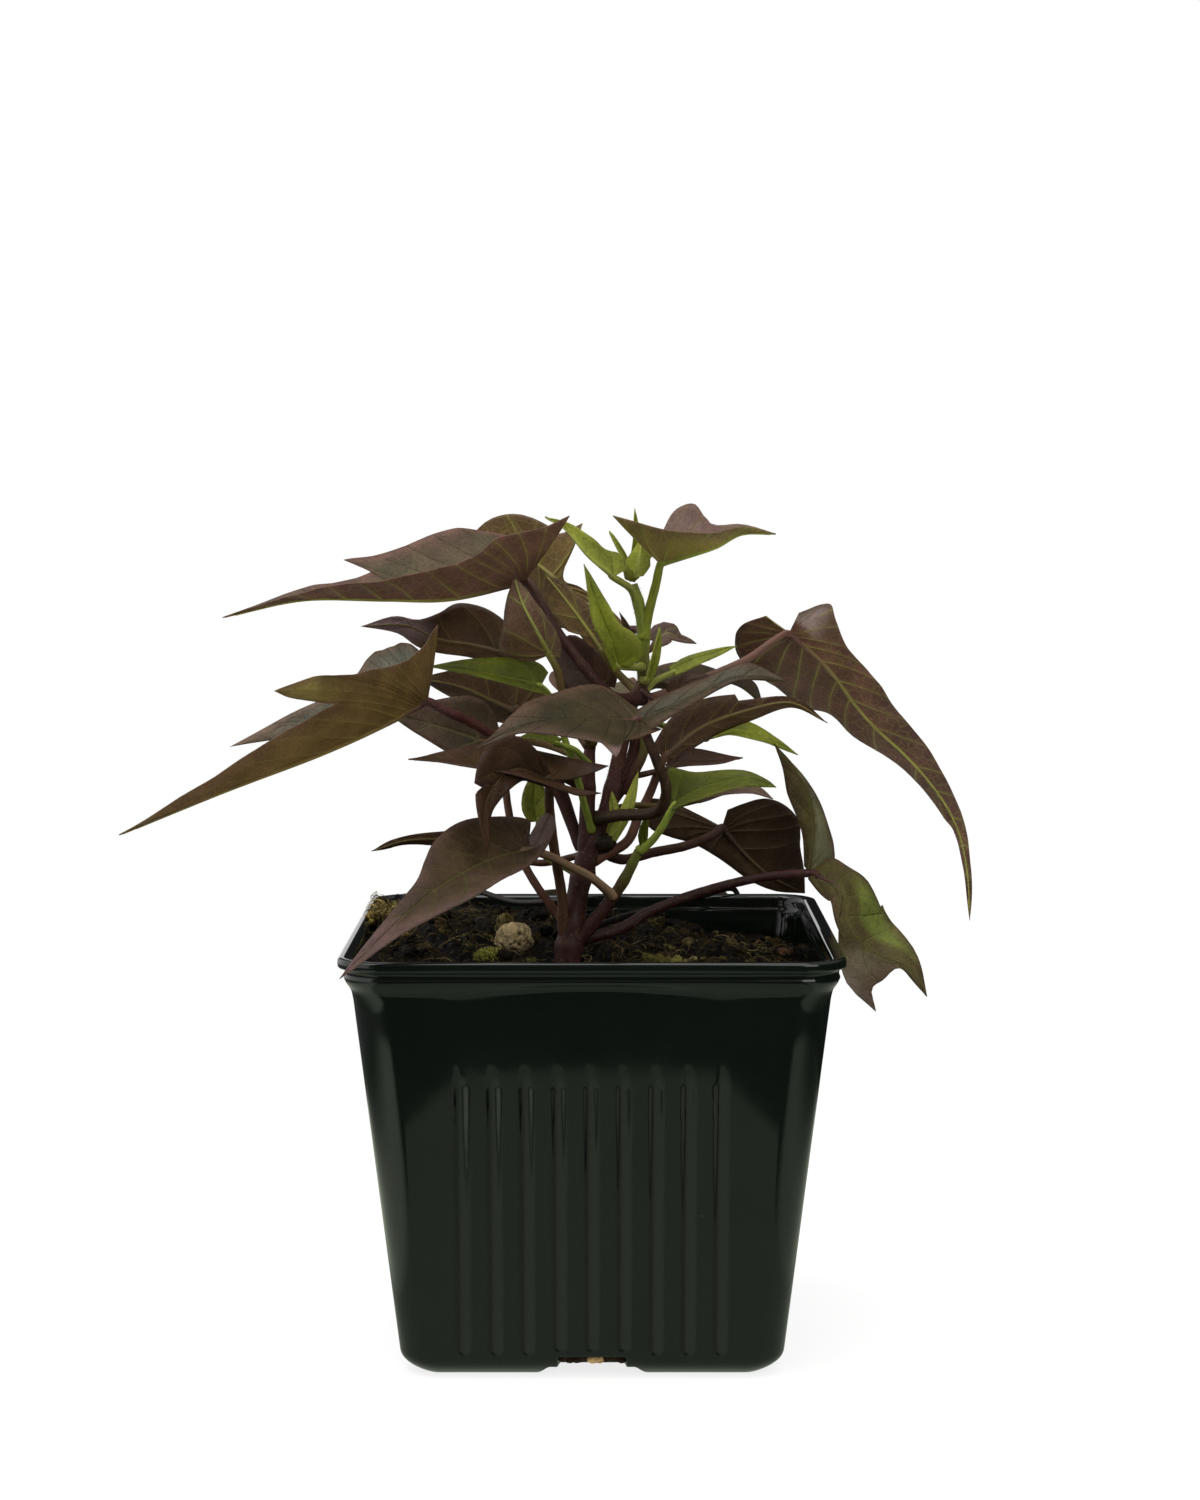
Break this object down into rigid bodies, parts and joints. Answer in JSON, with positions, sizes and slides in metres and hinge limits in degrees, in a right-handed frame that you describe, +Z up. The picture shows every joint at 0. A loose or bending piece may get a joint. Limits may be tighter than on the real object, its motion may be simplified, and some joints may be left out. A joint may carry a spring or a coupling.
{
  "type": "potted sweet potato vine",
  "caption": "Young sweet potato vine with lobed purple, olive and lime leaves on arching petioles, growing in a square dark plastic nursery pot filled with peat.",
  "frame": {"origin": "on the floor under the middle of the pot, which is the middle of the bounding box's bottom face to within 2 mm", "axes": "+Z up, -Y towards the front of the plant, +X to its right"},
  "size_m": [0.2015, 0.1397, 0.1989],
  "materials": {
    "pot": "gloss",
    "soil": "matte",
    "bark": "matte",
    "moss": "matte",
    "stem": "satin",
    "purple": "satin",
    "dark": "satin",
    "olive": "satin",
    "lime": "satin"
  },
  "bodies": {
    "root": {"pot": "pot", "soil": "soil", "bark_nugget": "bark", "moss_patch": "moss", "stems": "stem", "leaf_top_left": "purple", "leaf_top_left_rear": "olive", "leaf_far_left": "olive", "leaf_left_twisted": "dark", "leaf_left_lime": "lime", "leaf_left_brown": "dark", "leaf_left_under": "purple", "leaf_front": "olive", "leaf_right_dark": "dark", "leaf_far_right": "purple", "leaf_right_low": "olive", "leaf_right_heart": "dark", "leaf_low_left": "olive", "leaf_low_left_rear": "dark", "leaf_mid_left": "dark", "leaf_mid_lime": "lime", "leaf_under_lime": "lime", "leaf_top_right": "olive", "leaf_top_green": "lime", "leaf_shoot_lime": "lime", "leaf_shoot_purple": "purple", "leaf_right_lime": "lime", "leaf_right_green": "lime", "leaf_right_small_dark": "dark", "leaf_right_small_purple": "purple", "leaf_tip_lime": "lime", "leaf_small_curled": "dark", "leaf_behind_shoot": "purple", "leaf_small_round": "purple", "leaf_narrow_lime": "lime", "leaf_centre_high": "purple", "leaf_centre_dark": "dark", "leaf_rear_middle": "purple", "leaf_rear_right": "olive", "leaf_rear_low": "olive", "leaf_rear_low_right": "purple", "leaf_rear_low_left": "purple", "shoot_tip": "lime", "axil_buds": "lime"}
  },
  "joints": []
}
